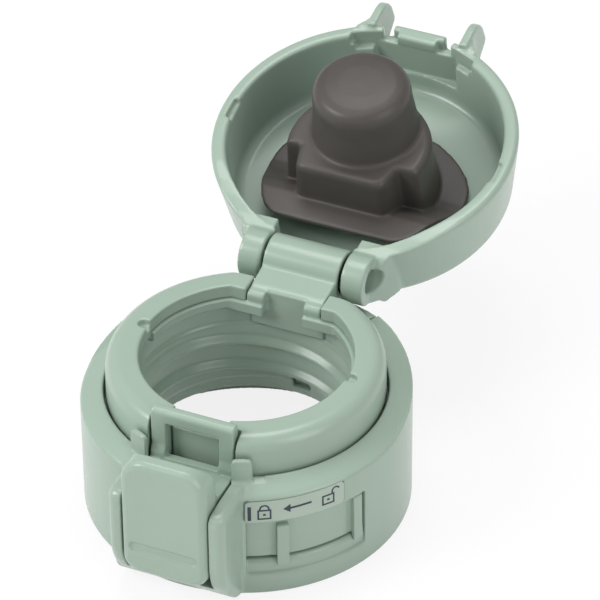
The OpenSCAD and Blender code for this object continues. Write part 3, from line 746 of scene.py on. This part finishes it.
def add_label(body, film, ink):
    """The label's film, wound on the shell in narrow strips, and its four signs."""
    work = bmesh.new()
    steps = 60
    rings = []
    for i in range(steps + 1):
        share = i / steps
        x = LABEL_X0 + (LABEL_X1 - LABEL_X0) * (3 * share ** 2 - 2 * share ** 3)
        edge = min(x - LABEL_X0, LABEL_X1 - x, LABEL_CORNER)
        cut = LABEL_CORNER - math.sqrt(LABEL_CORNER ** 2 - (LABEL_CORNER - edge) ** 2)
        low = LABEL_LOW[0] + (LABEL_LOW[1] - LABEL_LOW[0]) * share + cut
        high = LABEL_HIGH[0] + (LABEL_HIGH[1] - LABEL_HIGH[0]) * share - cut
        rings.append([
            work.verts.new(round_the_shell(x, z, r))
            for z, r in ((low, LABEL_R - LABEL_T), (low, LABEL_R), (high, LABEL_R), (high, LABEL_R - LABEL_T))
        ])
    for a, b in zip(rings, rings[1:]):
        for i in range(4):
            j = (i + 1) % 4
            work.faces.new((a[i], a[j], b[j], b[i]))
    work.faces.new(rings[0][::-1])
    work.faces.new(rings[-1])
    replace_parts(finish_piece(work, "label_film", body, film), "label_plate")

    work = bmesh.new()
    add_stroke(work, BAR, BAR_WIDTH)
    closed = [(-SHACKLE, 0.0), (-SHACKLE, 0.35)] + corner(0, 0.35, SHACKLE, 180, 0, 12) + [(SHACKLE, 0.0)]
    add_padlock(work, *SHUT_PADLOCK, closed)
    swung = [(SHACKLE, 0.0), (SHACKLE, 0.6)] + corner(1.62, 0.62, 0.76, 180, 15, 12)
    add_padlock(work, *OPEN_PADLOCK, swung)
    add_plate(work, ARROW_HEAD, INK_R, INK_R + INK_T)
    add_stroke(work, ARROW_SHAFT, ARROW_WIDTH)
    finish_piece(work, "label_signs", body, ink)


# Surroundings


def floor_material():
    """White where the light falls, and the object's shadow kept."""
    tree = Tree("floor")
    tree.colours(tree.noise(3.0, 2.0), (0.86, 0.86, 0.86, 1.0), (0.88, 0.88, 0.88, 1.0))
    tree.set(Roughness=0.7, Specular_IOR_Level=0.1)
    nodes = tree.nodes
    glow = nodes.new("ShaderNodeEmission")
    glow.inputs["Strength"].default_value = 1.0
    glow.inputs["Color"].default_value = (1.0, 1.0, 1.0, 1.0)
    rays = nodes.new("ShaderNodeLightPath")
    mirrored = nodes.new("ShaderNodeMath")
    mirrored.operation = "MAXIMUM"
    seen = nodes.new("ShaderNodeMath")
    seen.operation = "MAXIMUM"
    tree.link(rays.outputs["Is Glossy Ray"], mirrored.inputs[0])
    tree.link(rays.outputs["Is Transmission Ray"], mirrored.inputs[1])
    tree.link(mirrored.outputs[0], seen.inputs[0])
    tree.link(rays.outputs["Is Camera Ray"], seen.inputs[1])
    share = nodes.new("ShaderNodeMath")
    share.operation = "MULTIPLY"
    share.inputs[1].default_value = FLOOR_GLOW
    tree.link(seen.outputs[0], share.inputs[0])
    mixed = nodes.new("ShaderNodeMixShader")
    tree.link(share.outputs[0], mixed.inputs["Fac"])
    tree.link(tree.shader.outputs[0], mixed.inputs[1])
    tree.link(glow.outputs[0], mixed.inputs[2])
    tree.link(mixed.outputs[0], nodes["Material Output"].inputs["Surface"])
    return tree.material


def add_floor():
    work = bmesh.new()
    signs = ((-1, -1), (1, -1), (1, 1), (-1, 1))
    work.faces.new([work.verts.new((x * FLOOR_HALF, y * FLOOR_HALF, 0)) for x, y in signs])
    mesh = bpy.data.meshes.new("floor")
    work.to_mesh(mesh)
    work.free()
    mesh.materials.append(floor_material())
    linked("floor", mesh)


def add_world():
    world = bpy.data.worlds.new("world")
    bpy.context.scene.world = world
    world.use_nodes = True
    nodes, links = world.node_tree.nodes, world.node_tree.links
    light = nodes["Background"]
    light.inputs["Color"].default_value = (1.0, 1.0, 1.0, 1.0)
    light.inputs["Strength"].default_value = WORLD_LIGHT
    white = nodes.new("ShaderNodeBackground")
    white.inputs["Color"].default_value = (1.0, 1.0, 1.0, 1.0)
    white.inputs["Strength"].default_value = 1.0
    rays = nodes.new("ShaderNodeLightPath")
    mixed = nodes.new("ShaderNodeMixShader")
    links.new(rays.outputs["Is Camera Ray"], mixed.inputs["Fac"])
    links.new(light.outputs[0], mixed.inputs[1])
    links.new(white.outputs[0], mixed.inputs[2])
    links.new(mixed.outputs[0], nodes["World Output"].inputs["Surface"])


def add_lamp(name, place, size, watts, aim=(0.0, 0.0, 0.03)):
    lamp = bpy.data.lights.new(name, "AREA")
    lamp.shape = "RECTANGLE"
    lamp.size, lamp.size_y = size
    lamp.energy = watts
    light = bpy.data.objects.new(name, lamp)
    bpy.context.scene.collection.objects.link(light)
    light.location = place
    light.rotation_euler = (Vector(place) - Vector(aim)).to_track_quat("Z", "Y").to_euler()


def main():
    add_camera()
    plastic, silicone, steel = plastic_material(), silicone_material(), steel_material()
    film, ink = label_material(), ink_material()
    by_slot = {"shell_plastic": plastic, "silicone": silicone, "steel": steel, "label": film}
    parts = {part["node"]: part for part in frame["record"]["subparts"]}
    bodies = frame["record"]["behaviour"]["bodies"]
    body_of = {node: body for body, nodes in bodies.items() for node in nodes}
    for name, part in parts.items():
        node = NODES[name]
        node.data.materials.clear()
        node.data.materials.append(by_slot[part["material_slot"]])
    forms = {
        "outer_shell": shell_form, "open_button": button_form, "lock_slider": slider_form,
        "lid_shell": lid_form, "plug_seal": seal_form, "seal_holder": holder_form,
    }
    for name, voxel, passes, keep in MOULDED:
        form = forms[name]() if name in forms else form_of(name)
        slot = parts[name]["material_slot"]
        moulded(name, form, body_of[name], voxel, passes, keep, by_slot[slot])
    add_label(body_of["label_plate"], film, ink)
    add_floor()
    add_world()
    for lamp in LAMPS:
        add_lamp(*lamp)
    bpy.context.scene.view_settings.view_transform = "Standard"


main()
